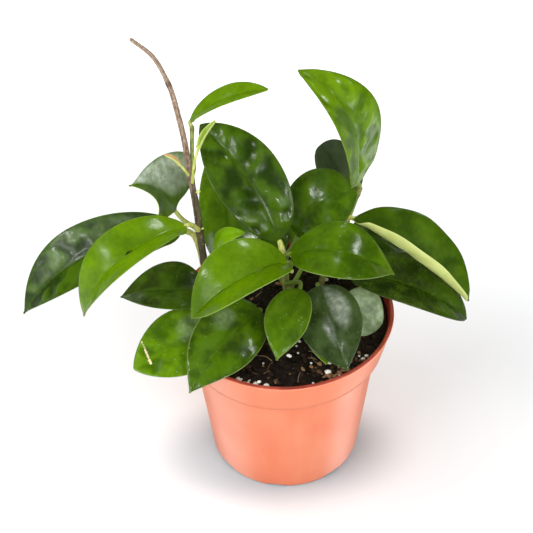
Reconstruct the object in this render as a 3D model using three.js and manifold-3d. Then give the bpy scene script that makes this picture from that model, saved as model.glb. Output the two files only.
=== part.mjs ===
// A flat-leaved wax plant in a terracotta-coloured nursery pot.
// Units are millimetres, +Z is up and the front of the pot faces -Y.
// The origin is the centre of the pot's underside.
import * as THREE from 'three';
import { mergeVertices } from 'three/addons/utils/BufferGeometryUtils.js';
import Module from 'manifold-3d';

const wasm = await Module();
wasm.setup();

// Pot
const potHeight = 100;
const rimRadius = 60;
const baseRadius = 43;
const collarHeight = 22;
const collarStep = 3.5;
const collarFlare = 5;
const collarThickness = 2.2;
const wallThickness = 1.4;
const shelfThickness = 1.6;
const floorThickness = 1.6;
const cornerRadius = 1.5;
const lipRadius = 0.9;
const edgeChamfer = 0.5;
const drainCount = 8;
const drainWidth = 10;
const drainInner = 31;
const drainRise = 0.2;
const firstDrain = -98;
const potSegments = 48;

// Soil
const soilDrop = 5.2;
const soilBump = 1.3;
const broadWave = [0.13, 0.11];
const fineWave = [0.41, 0.33, 0.47];
const broadShare = 0.6;
const soilEdgeFlat = 2;
const soilRings = 4;
const grainCount = 28;
const grainSeed = 11;
const grainSize = [1.1, 2.1];
const grainShape = [1, 0.8, 0.7];
const grainTilt = 0.3;
const grainToWall = 5;
const grainToStem = 7;

// Leaves and stems
const gap = 0.3;
const bladeMiddle = 1.5;
const bladeMargin = 0.9;
const smallBlade = { least: 0.35, share: 0.1 };
const bladeRows = 9;
const bladeHalfColumns = 2;
const blunt = { base: 1.3, tip: 0.45 };
const easedEnds = { base: 0.12, tip: 0.05, floor: 0.3 };
const rightRipple = 1.9;
const ribReach = 0.16;
const ribSink = 0.3;
const ribTipRadius = 0.5;
const petioleBend = { leaving: 0.35, arriving: 0.4 };
const petioleTaper = 0.15;
const petiolePoints = 4;
const petioleSides = 6;
const petioleSteps = 7;
const stemSides = 8;
const stemStep = 8;

const colours = {
  pot: 0xf2a583,
  soil: 0x2b1f19,
  bark: 0x8b7a5e,
  greenStem: 0x8a9a52,
  dark: 0x2c5216,
  mid: 0x3f7a1b,
  bright: 0x5e9a23,
  pale: 0xa3b860,
  silver: 0x55704a,
  bronze: 0xb98f6a,
};

// Each stem is a round shoot through these points, from inside the soil to its end.
const stems = {
  vine: {
    radius: [2.2, 1.0],
    colour: 'bark',
    path: [
      [-34, 0, 66], [-36, 1, 95], [-42, 5, 131], [-44.5, 9, 165], [-46.8, 14, 181],
      [-49, 22, 197], [-52.5, 30, 212], [-56, 37, 222], [-63, 42, 235], [-74, 45, 244],
    ],
  },
  middle: {
    radius: [2.2, 1.7],
    colour: 'greenStem',
    path: [[4, 6, 66], [3, 5, 95], [1, 4, 118], [0, 3, 138]],
  },
  right: {
    radius: [2.0, 1.5],
    colour: 'greenStem',
    path: [[18, 18, 66], [20, 18, 95], [28, 21, 125], [36, 23, 147], [41, 22, 166]],
  },
  front_left: {
    radius: [1.8, 1.4],
    colour: 'greenStem',
    path: [[-22, -12, 66], [-22, -12, 95], [-23, -12, 110]],
  },
  front_right: {
    radius: [1.8, 1.4],
    colour: 'greenStem',
    path: [[24, -2, 66], [24, -2, 95], [22, -3, 111]],
  },
  side_shoot: {
    radius: [1.2, 1.0],
    colour: 'greenStem',
    from: 'vine',
    path: [[-46.4, 13.6, 180], [-45.8, 18, 185], [-45.6, 22, 191], [-45.3, 25, 198], [-45, 27, 204]],
  },
};

// Each leaf grows from a stem at the height root. Its blade runs from base to tip.
// arch and sway bow the midrib, face turns the blade about it in degrees, and left and
// right are the angle of each half at the midrib and how much it turns out to the margin.
const leaves = [
  { name: 'left_outer', stem: 'vine', root: 119, base: [-54, 15, 145], tip: [-141, -4, 105],
    width: 34, arch: 18.5, face: -34, sway: 6, belly: 0.5, point: 1.15, left: [34, -12],
    right: [26, -12], petiole: 1.9, colour: 'dark' },
  { name: 'left_inner', stem: 'vine', root: 151, base: [-50, -2, 162], tip: [-104.5, -25, 122],
    width: 31, arch: 20, face: -22, point: 0.95, left: [46, -12], right: [22, -12], colour: 'mid' },
  { name: 'left_upper', stem: 'vine', root: 151, base: [-57, 26, 150], tip: [-80, 24, 168.5],
    width: 42, arch: 5, face: -12, skew: 0.2, sway: 3, wave: -5, waves: 1, belly: 0.4,
    heel: 0.75, point: 1.6, left: [18, -10], right: [34, 14], colour: 'mid' },
  { name: 'young_top', stem: 'side_shoot', root: 202, base: [-45.5, 28, 206], tip: [-6, 29, 223],
    width: 15, arch: 6, face: 22, belly: 0.58, left: [10, -14], right: [40, -14],
    petiole: 1.0, colour: 'bright' },
  { name: 'young_rolled', stem: 'vine', root: 177, base: [-41.5, 9.5, 202], tip: [-32.5, 12.5, 216],
    width: 7.5, arch: 0, sway: -1, face: 40, left: [40, 0], right: [40, 0], petiole: 0.8, colour: 'pale' },
  { name: 'young_sprout', stem: 'vine', root: 181, base: [-51, 12, 190], tip: [-59, 12, 197],
    width: 3.2, arch: 1, left: [30, 0], right: [30, 0], petiole: 0.8, colour: 'bronze' },
  { name: 'centre_tall', stem: 'middle', root: 137, base: [-2, 5, 145], tip: [-41, 30, 202],
    width: 36, arch: 6, face: -38, sway: 4, belly: 0.53, petiole: 1.6, colour: 'dark' },
  { name: 'centre_back', stem: 'vine', root: 112, base: [-25, 17, 113], tip: [-36, 51, 171],
    width: 34, arch: 5, belly: 0.42, colour: 'mid' },
  { name: 'centre_small', stem: 'vine', root: 131, base: [-36, 3, 138], tip: [-20, 7, 149],
    width: 13, arch: 5, petiole: 0.9, colour: 'pale' },
  { name: 'front_bright', stem: 'middle', root: 121, base: [1.5, -10, 142.5], tip: [-48, -34, 127],
    width: 40, arch: 13, face: -42, sway: 4, heel: 0.58, point: 1, left: [70, -10], right: [2, -12],
    colour: 'bright' },
  { name: 'front_pointed', stem: 'middle', root: 115, base: [8, -14, 127], tip: [-5, -47, 108],
    width: 24, arch: 4, point: 1.2, colour: 'bright' },
  { name: 'right_glossy', stem: 'middle', root: 127, base: [4, -5, 144.3], tip: [57, -14, 136],
    width: 36, arch: 12, face: 24, sway: -1, point: 1.15, left: [2, -14],
    right: [24, -14], colour: 'mid' },
  { name: 'right_round', stem: 'middle', root: 132, base: [8, 18, 137], tip: [39, 17, 165],
    width: 36, arch: 9, face: 33, sway: -4, belly: 0.58, point: 0.6, right: [0, -14], colour: 'mid' },
  { name: 'right_tall', stem: 'right', root: 165, base: [40, 20, 170], tip: [9, 30, 233],
    width: 35, arch: 18, face: -25, skew: 0.55, belly: 0.5, heel: 0.48, left: [30, -14],
    colour: 'dark' },
  { name: 'right_shaded', stem: 'right', root: 148, base: [37.5, 33, 149], tip: [22, 47, 176],
    width: 30, arch: 2, belly: 0.5, heel: 0.5, point: 0.42, left: [10, -8], colour: 'silver' },
  { name: 'right_raised', stem: 'right', root: 143, base: [38, 18, 148], tip: [99, -8, 110],
    width: 40, arch: 5, heel: 0.75, left: [40, -10], right: [16, 72], colour: 'dark' },
  { name: 'right_outer', stem: 'right', root: 120, base: [37, 6, 119], tip: [98.5, -10, 98.6],
    width: 35, arch: 10, face: 15, belly: 0.4, point: 0.7, right: [30, -14], colour: 'dark' },
  { name: 'right_tucked', stem: 'right', root: 127, base: [37, 27, 125], tip: [69, 40, 109],
    width: 28, arch: 5, face: 15, colour: 'dark' },
  { name: 'front_silver', stem: 'front_right', root: 110, base: [18, -8, 123], tip: [31, -50, 102],
    width: 34, arch: 5, face: 15, point: 1.1, colour: 'silver' },
  { name: 'front_low', stem: 'front_right', root: 102, base: [15, -12, 108], tip: [21, -42, 99],
    width: 18, arch: 3, point: 1, colour: 'mid' },
  { name: 'right_rim', stem: 'front_right', root: 106, base: [30, -6, 107], tip: [53, -11, 98],
    width: 28, arch: 3, face: 30, colour: 'silver' },
  { name: 'front_scarred', stem: 'front_left', root: 104, base: [-33, -16, 106], tip: [-79, -45, 102],
    width: 36, arch: 4, face: -30, left: [13, -12], right: [6, -14], colour: 'mid' },
  { name: 'front_over_rim', stem: 'front_left', root: 109, base: [-13, -14, 112], tip: [-50, -58, 97],
    width: 34, arch: 8, face: -25, sway: 3, heel: 0.42, point: 1.15, left: [10, -14], colour: 'mid' },
  { name: 'left_low', stem: 'vine', root: 104, base: [-42, -7, 120], tip: [-87, -7, 118],
    width: 32, arch: 5, face: -15, belly: 0.35, point: 1.1, left: [24, -14], colour: 'dark' },
  { name: 'back_right', stem: 'middle', root: 107, base: [12, 20, 116], tip: [30, 73, 102],
    width: 32, arch: 7, colour: 'mid' },
  { name: 'back_left', stem: 'middle', root: 111, base: [-5, 19, 117], tip: [-21, 72, 105],
    width: 31, arch: 8, colour: 'dark' },
  { name: 'back_side', stem: 'right', root: 112, base: [36, 24, 106], tip: [78, 50, 95],
    width: 29, arch: 6, colour: 'dark' },
];

const leafDefaults = {
  face: 0,
  skew: 0,
  sway: 0,
  wave: 0,
  waves: 2,
  belly: 0.45,
  heel: 0.55,
  point: 0.8,
  left: [18, -14],
  right: [18, -14],
  petiole: 1.4,
};

// A seeded draw between 0 and 1.
function seededRandom(seed) {
  let state = seed;
  return () => {
    state = (state + 0x6d2b79f5) | 0;
    let mixed = Math.imul(state ^ (state >>> 15), 1 | state);
    mixed = (mixed + Math.imul(mixed ^ (mixed >>> 7), 61 | mixed)) ^ mixed;
    return ((mixed ^ (mixed >>> 14)) >>> 0) / 4294967296;
  };
}

function radians(degrees) {
  return THREE.MathUtils.degToRad(degrees);
}

// Turns a closed geometry into a solid that can be joined and cut.
function solidFrom(geometry) {
  geometry.deleteAttribute('normal');
  geometry.deleteAttribute('uv');
  const merged = mergeVertices(geometry, 1e-4);
  const index = merged.index.array;
  const triangles = [];
  for (let i = 0; i < index.length; i += 3) {
    const [a, b, c] = [index[i], index[i + 1], index[i + 2]];
    if (a !== b && b !== c && c !== a) triangles.push(a, b, c);
  }
  return new wasm.Manifold(new wasm.Mesh({
    numProp: 3,
    vertProperties: new Float32Array(merged.attributes.position.array),
    triVerts: new Uint32Array(triangles),
  }));
}

function geometryOf(solid) {
  const mesh = solid.getMesh();
  const geometry = new THREE.BufferGeometry();
  geometry.setAttribute('position', new THREE.BufferAttribute(mesh.vertProperties, 3));
  geometry.setIndex(new THREE.BufferAttribute(mesh.triVerts, 1));
  return geometry;
}

function geometryFrom(points, triangles) {
  const geometry = new THREE.BufferGeometry();
  const values = points.flatMap((point) => [point.x, point.y, point.z]);
  geometry.setAttribute('position', new THREE.Float32BufferAttribute(values, 3));
  geometry.setIndex(triangles);
  return geometry;
}

// A solid of revolution about +Z from a profile of [radius, height] pairs.
function turned(profile, segments) {
  const points = profile.map(([radius, height]) => new THREE.Vector2(radius, height));
  const geometry = new THREE.LatheGeometry(points, segments);
  geometry.rotateX(Math.PI / 2);
  return geometry;
}

// A closed round tube along a curve, with a point at each end's centre.
// It runs past the curve's ends by overrun.
function tube(curve, steps, sides, radiusAt, overrun = 0) {
  const points = [];
  const triangles = [];
  let normal = new THREE.Vector3(1, 0, 0);
  for (let i = 0; i <= steps; i += 1) {
    const t = i / steps;
    const tangent = curve.getTangent(t);
    const shift = { 0: -overrun, [steps]: overrun }[i] ?? 0;
    const centre = curve.getPoint(t).addScaledVector(tangent, shift);
    normal = normal.clone().addScaledVector(tangent, -normal.dot(tangent)).normalize();
    const binormal = new THREE.Vector3().crossVectors(tangent, normal);
    for (let k = 0; k < sides; k += 1) {
      const angle = (2 * Math.PI * k) / sides;
      const radius = radiusAt(t);
      const point = centre.clone();
      point.addScaledVector(normal, radius * Math.cos(angle));
      point.addScaledVector(binormal, radius * Math.sin(angle));
      points.push(point);
    }
  }
  const first = points.push(curve.getPoint(0).addScaledVector(curve.getTangent(0), -overrun)) - 1;
  const last = points.push(curve.getPoint(1).addScaledVector(curve.getTangent(1), overrun)) - 1;
  const end = steps * sides;
  for (let k = 0; k < sides; k += 1) {
    const next = (k + 1) % sides;
    for (let row = 0; row < end; row += sides) {
      triangles.push(row + k, row + next, row + sides + next);
      triangles.push(row + k, row + sides + next, row + sides + k);
    }
    triangles.push(first, next, k);
    triangles.push(last, end + k, end + next);
  }
  return geometryFrom(points, triangles);
}

function smoothCurve(points) {
  return new THREE.CatmullRomCurve3(points, false, 'catmullrom', 0.5);
}

// Pot

function collarBottom() {
  return potHeight - collarHeight;
}

// Outer radius of the tapered wall below the collar.
function wallRadius(height) {
  const wallTop = rimRadius - collarFlare - collarStep;
  return baseRadius + ((wallTop - baseRadius) * height) / collarBottom();
}

// Outer radius of the collar.
function collarRadius(height) {
  return rimRadius - (collarFlare * (potHeight - height)) / collarHeight;
}

// Height of the shelf inside, where the collar steps in to the wall.
function shelfHeight() {
  return collarBottom() + shelfThickness;
}

// Radius of the space inside the pot, below the shelf and in the collar.
function wallInside(height) {
  return wallRadius(Math.min(height, collarBottom())) - wallThickness;
}

function collarInside(height) {
  return collarRadius(height) - collarThickness;
}

function arcPoints(centreRadius, centreHeight, radius, from, to, steps) {
  const points = [];
  for (let i = 0; i <= steps; i += 1) {
    const angle = radians(from + ((to - from) * i) / steps);
    points.push([centreRadius + radius * Math.cos(angle), centreHeight + radius * Math.sin(angle)]);
  }
  return points;
}

function potSolid() {
  const lipCentre = potHeight - lipRadius;
  const innerLip = rimRadius - collarThickness;
  const profile = [
    [0, 0],
    ...arcPoints(wallRadius(cornerRadius) - cornerRadius, cornerRadius, cornerRadius, -90, 0, 4),
    [wallRadius(collarBottom()), collarBottom()],
    [collarRadius(collarBottom()), collarBottom() + edgeChamfer],
    ...arcPoints(rimRadius - lipRadius, lipCentre, lipRadius, 0, 90, 3),
    [innerLip + edgeChamfer, potHeight],
    [innerLip, potHeight - edgeChamfer],
    [collarInside(shelfHeight()), shelfHeight()],
    [wallInside(shelfHeight()), shelfHeight()],
    [wallInside(floorThickness), floorThickness],
    [0, floorThickness],
  ];
  let pot = solidFrom(turned(profile, potSegments));
  for (let i = 0; i < drainCount; i += 1) {
    pot = pot.subtract(drainNotch(i));
  }
  return pot;
}

// A slot through the corner of the floor; the first one is just left of the front's middle.
function drainNotch(i) {
  const length = baseRadius + cornerRadius - drainInner;
  const height = floorThickness + drainRise;
  const box = new THREE.BoxGeometry(length, drainWidth, height + 1);
  box.translate(drainInner + length / 2, 0, (height - 1) / 2);
  box.rotateZ(radians(firstDrain + (360 * i) / drainCount));
  return solidFrom(box);
}

// Stems

function stemCurve(stem) {
  return smoothCurve(stem.path.map((point) => new THREE.Vector3(...point)));
}

function stemTube(stem, extra) {
  const curve = stemCurve(stem);
  const steps = Math.ceil(curve.getLength() / stemStep);
  const [bottom, top] = stem.radius;
  const radiusAt = (t) => THREE.MathUtils.lerp(bottom, top, t) + extra;
  return solidFrom(tube(curve, steps, stemSides, radiusAt, extra));
}

// The point on a stem's centre line at a height.
function stemPointAt(stem, height) {
  const samples = stemCurve(stem).getPoints(200);
  const above = samples.findIndex((point) => point.z >= height);
  if (above < 1) return samples[samples.length - 1];
  const [low, high] = [samples[above - 1], samples[above]];
  return low.clone().lerp(high, (height - low.z) / (high.z - low.z));
}

function stemSolid(stem) {
  let solid = stemTube(stem, 0);
  if (stem.from) solid = solid.subtract(stemTube(stems[stem.from], gap));
  return solid;
}

// Soil

function soilTop(x, y) {
  const broad = Math.sin(x * broadWave[0] + 1) * Math.cos(y * broadWave[1]);
  const fine = Math.sin(x * fineWave[0] - y * fineWave[1]) * Math.sin(y * fineWave[2] + 2);
  return potHeight - soilDrop + soilBump * (broadShare * broad + (1 - broadShare) * fine);
}

function soilGeometry() {
  const bottom = floorThickness + gap;
  const shelf = shelfHeight() + gap;
  const edge = potHeight - soilDrop;
  const soilEdge = collarInside(edge) - gap;
  const profile = [[0, bottom], [wallInside(bottom) - gap, bottom]];
  profile.push([wallInside(shelf) - gap, shelf]);
  profile.push([collarInside(shelf) - gap, shelf]);
  profile.push([soilEdge, edge]);
  for (let i = soilRings; i >= 0; i -= 1) {
    profile.push([(i / soilRings) * (soilEdge - soilEdgeFlat), edge]);
  }
  const geometry = turned(profile, potSegments);
  const position = geometry.attributes.position;
  const inside = soilEdge - soilEdgeFlat / 2;
  for (let i = 0; i < position.count; i += 1) {
    const [x, y, z] = [position.getX(i), position.getY(i), position.getZ(i)];
    if (z > edge - 0.01 && Math.hypot(x, y) < inside) position.setZ(i, soilTop(x, y));
  }
  return geometry;
}

// Lumps of perlite and bark, sunk to their middle in the soil's top.
function soilSolid() {
  const random = seededRandom(grainSeed);
  const stemSpots = Object.values(stems)
    .filter((stem) => !stem.from)
    .map((stem) => stemPointAt(stem, potHeight - soilDrop));
  let soil = solidFrom(soilGeometry());
  let placed = 0;
  while (placed < grainCount) {
    const angle = random() * 2 * Math.PI;
    const distance = Math.sqrt(random()) * (rimRadius - collarThickness - grainToWall);
    const size = THREE.MathUtils.lerp(grainSize[0], grainSize[1], random());
    const turn = random() * Math.PI;
    const x = distance * Math.cos(angle);
    const y = distance * Math.sin(angle);
    const free = stemSpots.every((spot) => Math.hypot(spot.x - x, spot.y - y) > grainToStem);
    if (free) {
      const grain = new THREE.OctahedronGeometry(size);
      grain.scale(...grainShape);
      grain.rotateZ(turn);
      grain.rotateX(turn * grainTilt);
      grain.translate(x, y, soilTop(x, y));
      soil = soil.add(solidFrom(grain));
      placed += 1;
    }
  }
  for (const stem of Object.values(stems)) {
    if (!stem.from) soil = soil.subtract(stemTube(stem, gap));
  }
  return soil;
}

// Leaves

// The leaf's own directions: along the chord, up and across.
function leafFrame(leaf) {
  const base = new THREE.Vector3(...leaf.base);
  const chord = new THREE.Vector3(...leaf.tip).sub(base);
  const along = chord.clone().normalize();
  const up = new THREE.Vector3(0, 0, 1);
  up.addScaledVector(along, -along.z).normalize();
  const across = new THREE.Vector3().crossVectors(along, up);
  return { base, chord, along, up, across };
}

// The midrib: the chord, bowed by arch out of the blade and by sway within it.
function midribAt(leaf, frame, t) {
  const turn = radians(leaf.face);
  const out = frame.up.clone().multiplyScalar(Math.cos(turn));
  out.addScaledVector(frame.across, Math.sin(turn));
  const side = new THREE.Vector3().crossVectors(frame.along, out);
  const bow = 4 * t * (1 - t) * (1 + leaf.skew * (2 * t - 1));
  const point = frame.base.clone().addScaledVector(frame.chord, t);
  point.addScaledVector(out, leaf.arch * bow);
  point.addScaledVector(side, leaf.sway * bow);
  return { point, out };
}

function midribTangent(leaf, frame, t) {
  const step = 0.01;
  const low = midribAt(leaf, frame, Math.max(t - step, 0)).point;
  const high = midribAt(leaf, frame, Math.min(t + step, 1)).point;
  return high.sub(low).normalize();
}

// Half the blade's width, widest at belly. Below it the outline is blunt where heel is
// small, and above it pointed where point is large.
function halfWidth(leaf, t) {
  const fromBelly = t < leaf.belly ? 1 - t / leaf.belly : (t - leaf.belly) / (1 - leaf.belly);
  const swell = (1 - fromBelly ** 2) ** (t < leaf.belly ? leaf.heel : leaf.point);
  return { swell, half: Math.max((leaf.width / 2) * swell, blunt.base * (1 - t) + blunt.tip * t) };
}

// A point of the blade at t along it, and s from -1 at the left margin to 1 at the right.
// Each half is an arc that leaves the midrib at its rise and turns by its curl, both
// smaller at the ends.
function bladePoint(leaf, frame, t, s) {
  const { point, out } = midribAt(leaf, frame, t);
  const tangent = midribTangent(leaf, frame, t);
  const side = new THREE.Vector3().crossVectors(tangent, out).normalize();
  const normal = new THREE.Vector3().crossVectors(side, tangent);
  const { swell, half } = halfWidth(leaf, t);
  const [riseDegrees, curlDegrees] = s < 0 ? leaf.left : leaf.right;
  const fromEnds = Math.min(t / easedEnds.base, 1) * Math.min((1 - t) / easedEnds.tip, 1);
  const ends = THREE.MathUtils.smoothstep(fromEnds, 0, 1);
  const share = THREE.MathUtils.lerp(easedEnds.floor, 1, ends);
  const rise = radians(riseDegrees) * share;
  const curl = Math.abs(curlDegrees) < 0.1 ? 0.001 : radians(curlDegrees) * share;
  const outward = Math.abs(s);
  const reach = ((Math.sin(rise + curl * outward) - Math.sin(rise)) / curl) * half * Math.sign(s);
  const ripple = Math.sin(2 * Math.PI * leaf.waves * t + (s > 0 ? rightRipple : 0));
  const lift = ((Math.cos(rise) - Math.cos(rise + curl * outward)) / curl) * half
    + leaf.wave * ripple * outward ** 2 * Math.sqrt(swell);
  point.addScaledVector(side, reach);
  point.addScaledVector(normal, lift);
  return point;
}

// The blade is this surface, thickened along its own normals, thinner at the margin.
// A small leaf is thinner in all.
function bladeSolid(leaf, frame) {
  const thickest = smallBlade.least + smallBlade.share * leaf.width;
  const [middle, margin] = [Math.min(bladeMiddle, thickest), Math.min(bladeMargin, thickest)];
  const columns = 2 * bladeHalfColumns;
  const rowSize = columns + 1;
  const top = [];
  const bottom = [];
  const small = 0.004;
  for (let i = 0; i <= bladeRows; i += 1) {
    const even = i / bladeRows;
    const t = 0.5 * even + 0.25 * (1 - Math.cos(Math.PI * even));
    for (let j = 0; j <= columns; j += 1) {
      const s = (2 * j) / columns - 1;
      const lengthwise = bladePoint(leaf, frame, Math.min(t + small, 1), s)
        .sub(bladePoint(leaf, frame, Math.max(t - small, 0), s));
      const crosswise = bladePoint(leaf, frame, t, Math.min(s + 0.05, 1))
        .sub(bladePoint(leaf, frame, t, Math.max(s - 0.05, -1)));
      const normal = crosswise.cross(lengthwise).normalize();
      const thickness = THREE.MathUtils.lerp(middle, margin, Math.abs(s));
      const point = bladePoint(leaf, frame, t, s);
      top.push(point.clone().addScaledVector(normal, thickness / 2));
      bottom.push(point.clone().addScaledVector(normal, -thickness / 2));
    }
  }
  const under = top.length;
  const triangles = [];
  const rim = [];
  for (let i = 0; i < bladeRows; i += 1) {
    for (let j = 0; j < columns; j += 1) {
      const a = i * rowSize + j;
      const b = a + 1;
      const c = a + rowSize + 1;
      const d = a + rowSize;
      triangles.push(a, b, c, a, c, d);
      triangles.push(under + a, under + c, under + b, under + a, under + d, under + c);
    }
  }
  for (let j = 0; j < columns; j += 1) rim.push(j);
  for (let i = 0; i < bladeRows; i += 1) rim.push(i * rowSize + columns);
  for (let j = columns; j > 0; j -= 1) rim.push(bladeRows * rowSize + j);
  for (let i = bladeRows; i > 0; i -= 1) rim.push(i * rowSize);
  rim.forEach((a, k) => {
    const b = rim[(k + 1) % rim.length];
    triangles.push(b, a, under + a, b, under + a, under + b);
  });
  return solidFrom(geometryFrom([...top, ...bottom], triangles));
}

// The leaf stalk leaves its stem, bends into the midrib and runs out under it as a rib.
function petioleSolid(leaf, frame) {
  const start = stemPointAt(stems[leaf.stem], leaf.root);
  const end = frame.base;
  const reach = start.distanceTo(end);
  const leaving = start.clone().lerp(end, petioleBend.leaving);
  const arriving = end.clone().addScaledVector(midribTangent(leaf, frame, 0), -petioleBend.arriving * reach);
  const points = new THREE.CubicBezierCurve3(start, leaving, arriving, end).getPoints(petiolePoints);
  for (const t of [ribReach / 2, ribReach]) {
    const { point, out } = midribAt(leaf, frame, t);
    points.push(point.addScaledVector(out, -ribSink));
  }
  const thinning = petiolePoints / (points.length - 1);
  const radiusAt = (t) => {
    if (t < thinning) return leaf.petiole * (1 - (petioleTaper * t) / thinning);
    const past = (t - thinning) / (1 - thinning);
    return THREE.MathUtils.lerp(leaf.petiole * (1 - petioleTaper), ribTipRadius, past);
  };
  return solidFrom(tube(smoothCurve(points), petioleSteps, petioleSides, radiusAt));
}

function leafSolid(leaf) {
  const frame = leafFrame(leaf);
  const whole = bladeSolid(leaf, frame).add(petioleSolid(leaf, frame));
  return whole.subtract(stemTube(stems[leaf.stem], gap));
}

function pieceMesh(name, solid, colour, roughness) {
  const material = new THREE.MeshStandardMaterial({ color: colours[colour], roughness, metalness: 0 });
  const mesh = new THREE.Mesh(geometryOf(solid), material);
  mesh.name = name;
  return mesh;
}

const plant = new THREE.Group();
plant.name = 'wax_plant';
plant.add(pieceMesh('pot', potSolid(), 'pot', 0.45));
plant.add(pieceMesh('soil', soilSolid(), 'soil', 0.95));
for (const [name, stem] of Object.entries(stems)) {
  plant.add(pieceMesh(`stem_${name}`, stemSolid(stem), stem.colour, 0.7));
}
for (const entry of leaves) {
  const leaf = { ...leafDefaults, ...entry };
  plant.add(pieceMesh(`leaf_${leaf.name}`, leafSolid(leaf), leaf.colour, 0.35));
}

export default plant;
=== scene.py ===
import math
import bpy
import numpy as np
from mathutils import Matrix


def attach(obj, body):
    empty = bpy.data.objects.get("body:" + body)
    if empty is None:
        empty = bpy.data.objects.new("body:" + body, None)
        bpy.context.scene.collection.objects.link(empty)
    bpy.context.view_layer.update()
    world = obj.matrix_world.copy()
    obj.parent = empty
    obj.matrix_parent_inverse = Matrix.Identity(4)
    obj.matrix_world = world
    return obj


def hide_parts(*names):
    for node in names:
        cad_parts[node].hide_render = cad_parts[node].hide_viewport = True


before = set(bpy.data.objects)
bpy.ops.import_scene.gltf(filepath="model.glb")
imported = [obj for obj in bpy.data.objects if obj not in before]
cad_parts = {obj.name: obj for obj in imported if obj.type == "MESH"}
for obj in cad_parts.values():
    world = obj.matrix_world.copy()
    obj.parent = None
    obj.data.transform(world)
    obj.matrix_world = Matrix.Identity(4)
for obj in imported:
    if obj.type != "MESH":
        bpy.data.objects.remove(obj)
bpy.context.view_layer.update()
scene = bpy.context.scene
mm = 0.001
print("frame loaded")


# node maths: one wrapped socket, so that masks and colours read as plain expressions
class Shader:
    def __init__(self, tree, socket=None):
        self.tree = tree
        self.socket = socket

    # adds any node: its type, its settings, then the values or links of its sockets
    def make(self, kind, settings, values, output=0):
        node = self.tree.nodes.new("ShaderNode" + kind)
        for name, value in settings.items():
            setattr(node, name, value)
        for name, value in values.items():
            if isinstance(value, Shader):
                self.tree.links.new(value.socket, node.inputs[name])
            else:
                node.inputs[name].default_value = value
        return Shader(self.tree, node.outputs[output] if len(node.outputs) else None)

    def maths(self, operation, first, second=0.0):
        return self.make("Math", {"operation": operation}, {0: first, 1: second})

    def __add__(self, other):
        return self.maths("ADD", self, other)

    def __sub__(self, other):
        return self.maths("SUBTRACT", self, other)

    def __rsub__(self, other):
        return self.maths("SUBTRACT", other, self)

    def __mul__(self, other):
        return self.maths("MULTIPLY", self, other)

    def __pow__(self, other):
        return self.maths("POWER", self, other)

    __radd__, __rmul__ = __add__, __mul__

    # 0 below low, 1 above high, smooth between
    def rise(self, low, high):
        return self.make("MapRange", {"interpolation_type": "SMOOTHSTEP"},
                         {"Value": self, "From Min": low, "From Max": high})

    def fall(self, low, high):
        return 1 - self.rise(low, high)

    def attribute(self, name):
        return self.make("Attribute", {"attribute_name": name}, {}, 2)

    def place(self):
        return self.make("TexCoord", {}, {}, 3)

    # the height above the table in millimetres
    def height(self):
        return self.make("SeparateXYZ", {}, {0: self.place()}, 2) * 1000

    # noise whose lumps measure size millimetres across, and more along the axes whose factor is under 1
    def noise(self, size, detail=2.0, factors=(1, 1, 1)):
        at = self.make("VectorMath", {"operation": "MULTIPLY"}, {0: self.place(), 1: factors})
        return self.make("TexNoise", {}, {"Vector": at, "Scale": 1000 / size, "Detail": detail})

    # a mix of two colours: each is a node's, or a screen colour of three numbers, or a linear one of four
    def mix(self, factor, first, second):
        first, second = (tint(v) if isinstance(v, tuple) and len(v) == 3 else v for v in (first, second))
        return self.make("Mix", {"data_type": "RGBA"}, {0: factor, 6: first, 7: second}, 2)

    # multiplies a colour by a number
    def dim(self, colour, factor):
        return self.make("VectorMath", {"operation": "SCALE"}, {0: colour, "Scale": factor})

    def bump(self, height, depth, strength=1.0):
        return self.make("Bump", {}, {"Height": height, "Distance": depth * mm, "Strength": strength})


# a screen colour 0 to 255, as the linear colour that a shader takes
def tint(colour):
    parts = [(v / 255 / 12.92 if v < 10.3 else ((v / 255 + 0.055) / 1.055) ** 2.4) for v in colour]
    return (*parts, 1.0)


def newMaterial(name):
    material = bpy.data.materials.new(name)
    material.use_nodes = True
    material.node_tree.nodes.clear()
    shader = Shader(material.node_tree)
    shader.material = material
    return shader


# joins colour, roughness and bump to a Principled shader; fixed is what stays the same all over
def finishMaterial(shader, colour, roughness, normal=None, fixed=None):
    values = {"Base Color": colour, "Roughness": roughness}
    if normal is not None:
        values["Normal"] = normal
    values.update(fixed or {})
    surface = shader.make("BsdfPrincipled", {}, values)
    shader.make("OutputMaterial", {}, {"Surface": surface})
    return shader.material


# each vector divided by its own length
def unit(v):
    return v / np.maximum(np.linalg.norm(v, axis=-1, keepdims=True), 1e-12)


# 0 below low, 1 above high and three squares less two cubes between
def smooth(x, low=0.0, high=1.0):
    x = np.clip((x - low) / (high - low), 0, 1)
    return x * x * (3 - 2 * x)


# 0 outside, 1 between the second and third limits, smooth from the first and to the fourth
def within(x, first, second, third, fourth):
    return smooth(x, first, second) * (1 - smooth(x, third, fourth))


# one array of points from arrays of x, y and z that may differ in shape
def grid(*parts):
    return np.stack(np.broadcast_arrays(*parts), -1)


# even steps round a full turn
def fullTurn(steps):
    return np.linspace(0, 2 * np.pi, steps, endpoint=False)


# points about the upright axis: the radius times the cosine and the sine of the angle, and the height
def aroundAxis(radius, angle, height):
    return grid(radius * np.cos(angle), radius * np.sin(angle), height)


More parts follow.
